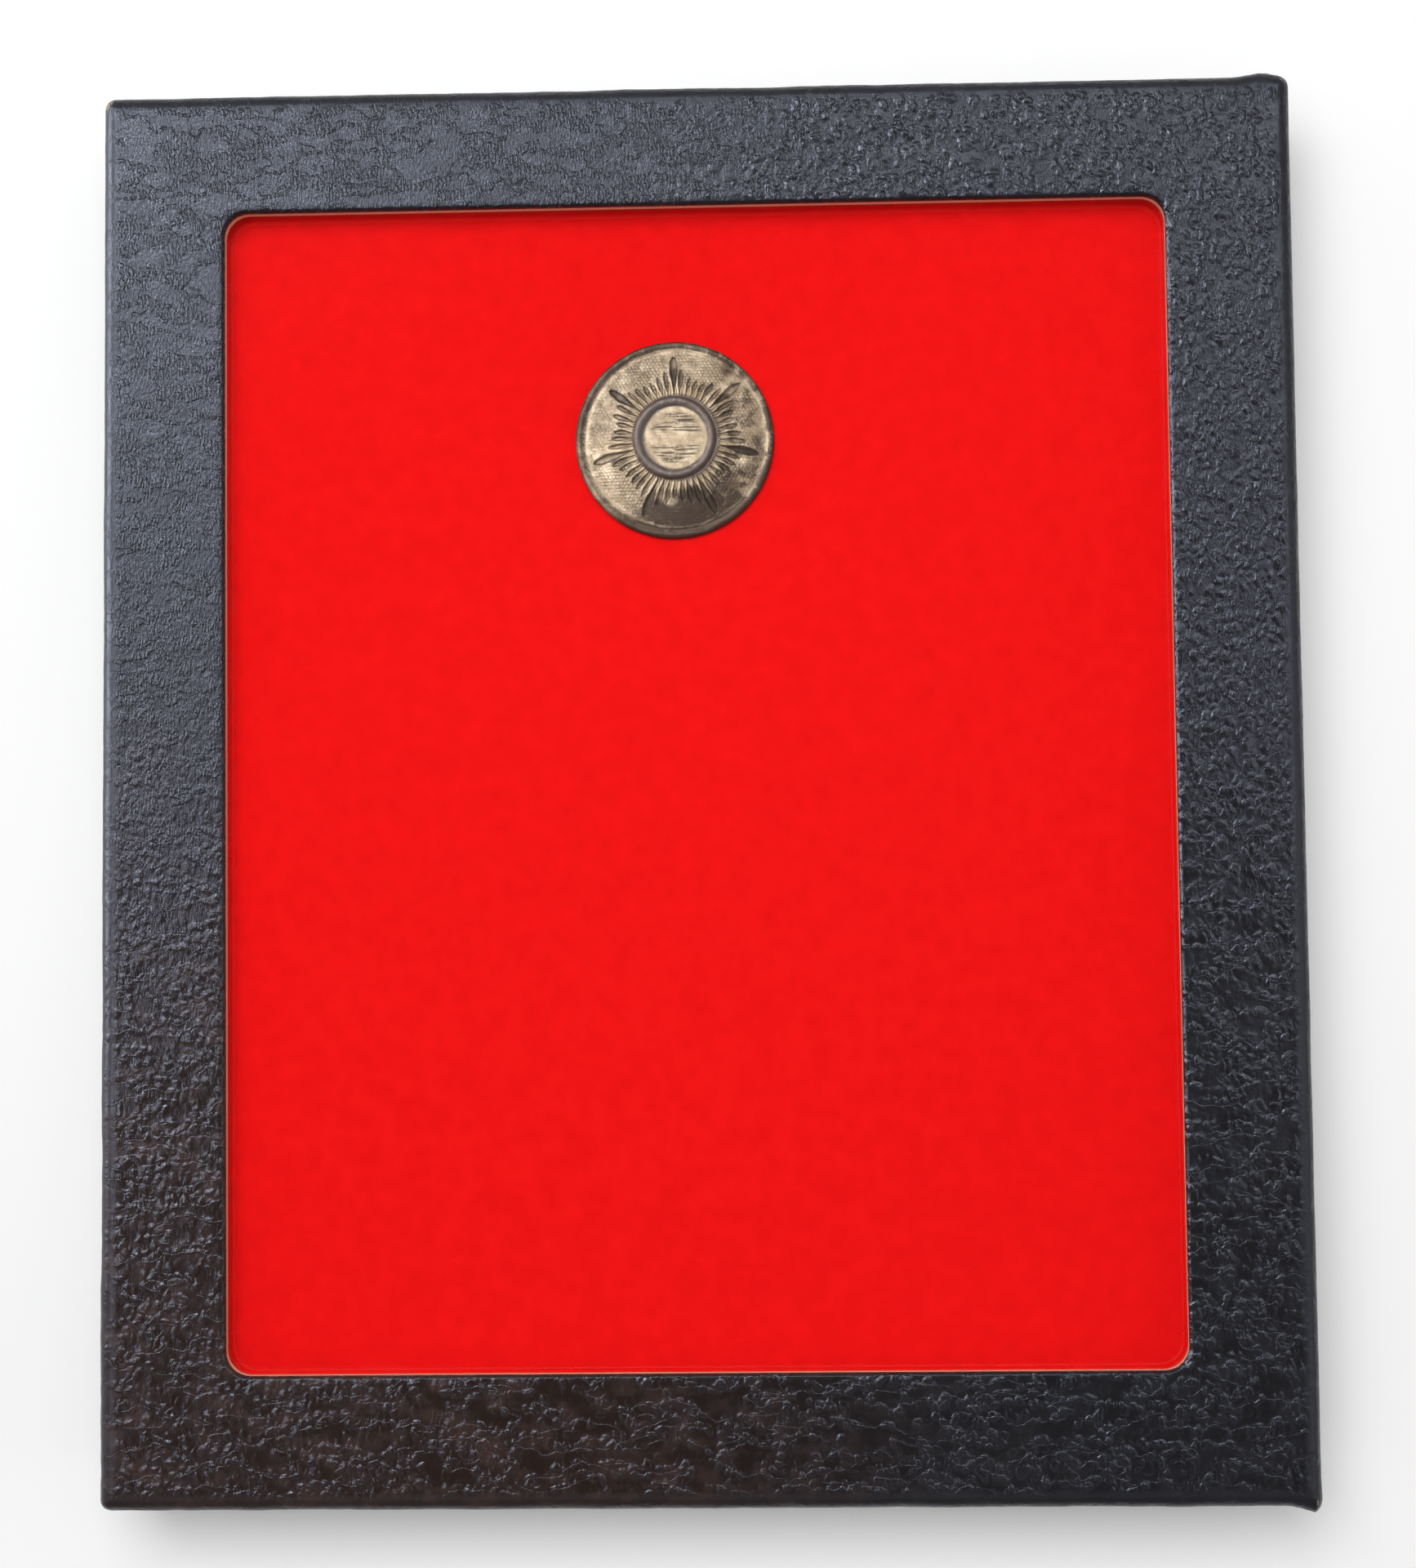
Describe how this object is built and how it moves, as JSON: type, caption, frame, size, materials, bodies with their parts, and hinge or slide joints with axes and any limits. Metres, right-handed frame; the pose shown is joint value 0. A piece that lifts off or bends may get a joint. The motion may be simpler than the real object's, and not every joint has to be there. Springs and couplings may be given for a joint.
{
  "type": "display frame",
  "caption": "Flat rectangular display case: a glazed lid slides over a shallow felt-lined tray, pinned at the sides, with a domed sunburst button held under the glass.",
  "frame": {"origin": "middle of the underside of the case's bounding box, on the surface that it lies on", "axes": "+Z out of the window, +Y towards the case's top edge, +X to the right seen from the front"},
  "size_m": [0.1404, 0.165, 0.0191],
  "materials": {
    "leatherette_paper": "embossed leather grain, satin",
    "greyboard": "raw cut board",
    "stay_paper": "brown kraft paper",
    "gummed_paper": "brown gummed paper",
    "backing_paper": "plain matt paper",
    "clear_glass": "clear float glass",
    "polyester_fibre": "white fibre wadding",
    "red_felt": "matt felt",
    "tarnished_brass": "stamped, brown patina",
    "plated_steel": "nickel plated"
  },
  "bodies": {
    "tray": {"base_board": "greyboard", "base_covering": "leatherette_paper", "base_stay_front_left": "stay_paper", "base_stay_front_right": "stay_paper", "base_stay_back_left": "stay_paper", "base_stay_back_right": "stay_paper", "backing_sheet": "backing_paper", "fibre_filling": "polyester_fibre", "felt_sheet": "red_felt", "button_face": "tarnished_brass", "button_shank": "tarnished_brass"},
    "lid": {"lid_board": "greyboard", "lid_covering": "leatherette_paper", "lid_stay_front_left": "stay_paper", "lid_stay_front_right": "stay_paper", "lid_stay_back_left": "stay_paper", "lid_stay_back_right": "stay_paper", "glass_pane": "clear_glass", "glass_strip_left": "gummed_paper", "glass_strip_right": "gummed_paper", "glass_strip_front": "gummed_paper", "glass_strip_back": "gummed_paper"},
    "left_pin": {"left_pin": "plated_steel"},
    "right_pin": {"right_pin": "plated_steel"}
  },
  "joints": [
    {"name": "lid_lift", "type": "slide", "parent": "tray", "child": "lid", "axis": [0, 0, 1], "range_m": [0, 0.03]},
    {"name": "left_pin_pull", "type": "slide", "parent": "lid", "child": "left_pin", "axis": [-1, 0, 0], "range_m": [0, 0.016]},
    {"name": "right_pin_pull", "type": "slide", "parent": "lid", "child": "right_pin", "axis": [1, 0, 0], "range_m": [0, 0.016]}
  ]
}
